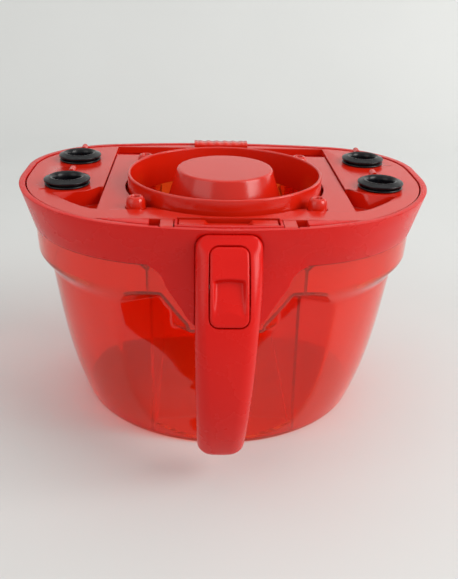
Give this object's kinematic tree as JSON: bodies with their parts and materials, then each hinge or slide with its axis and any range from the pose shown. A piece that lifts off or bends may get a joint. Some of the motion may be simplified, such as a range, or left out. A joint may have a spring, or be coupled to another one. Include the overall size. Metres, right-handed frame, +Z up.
{
  "type": "vacuum cleaner dust container",
  "caption": "Translucent dust bowl with an opaque collar, carrying handle with thumb release, and a hinged lid carrying a round duct, deflector cone and rubber grommets.",
  "frame": {"origin": "on the flat underside of the bowl, directly under the duct's axis", "axes": "+Z up when the container stands on its base, handle at -Y, lid hinge along X, left and right chambers at -X and +X"},
  "size_m": [0.278, 0.2358, 0.1759],
  "materials": {
    "bowl": "clear red polycarbonate, polished",
    "shell": "moulded red, satin gloss",
    "lid": "moulded red, high gloss",
    "rubber": "smooth black",
    "steel": "bright"
  },
  "bodies": {
    "container": {"dust_bowl": "bowl", "partition_left": "bowl", "partition_right": "bowl", "collar": "shell", "bowl_seal": "rubber", "handle_outer_shell": "shell", "handle_inner_shell": "shell", "handle_screws": "steel", "button_pivot_pin": "steel", "button_return_spring": "steel", "hinge_pin_left": "steel", "hinge_pin_right": "steel"},
    "lid": {"lid_frame": "lid", "port_deck_left": "lid", "port_deck_right": "lid", "duct_plate": "lid", "duct_ring": "lid", "duct_gasket": "rubber", "deflector_cone": "lid", "duct_screws": "steel", "lid_gasket": "rubber", "lid_grip": "lid", "seal_front_left": "rubber", "seal_front_right": "rubber", "seal_rear_left": "rubber", "seal_rear_right": "rubber"},
    "button": {"release_button": "shell"},
    "latch": {"latch_bar": "lid"}
  },
  "joints": [
    {"name": "lid_hinge", "type": "hinge", "parent": "container", "child": "lid", "pos_m": [0, -0.086, 0.1615], "axis": [1, 0, 0], "range_deg": [0, 90]},
    {"name": "button_rock", "type": "hinge", "parent": "container", "child": "button", "pos_m": [0, -0.1068, 0.136], "axis": [1, 0, 0], "range_deg": [0, 7], "stiffness_Nm_per_rad": 0.5, "deforming": ["button_return_spring"]},
    {"name": "latch_lift", "type": "slide", "parent": "container", "child": "latch", "axis": [0, 0, 1], "range_m": [0, 0.003]}
  ],
  "couplings": [
    {"joint": "latch_lift", "follows": "button_rock", "m_per_rad": 0.0245}
  ]
}
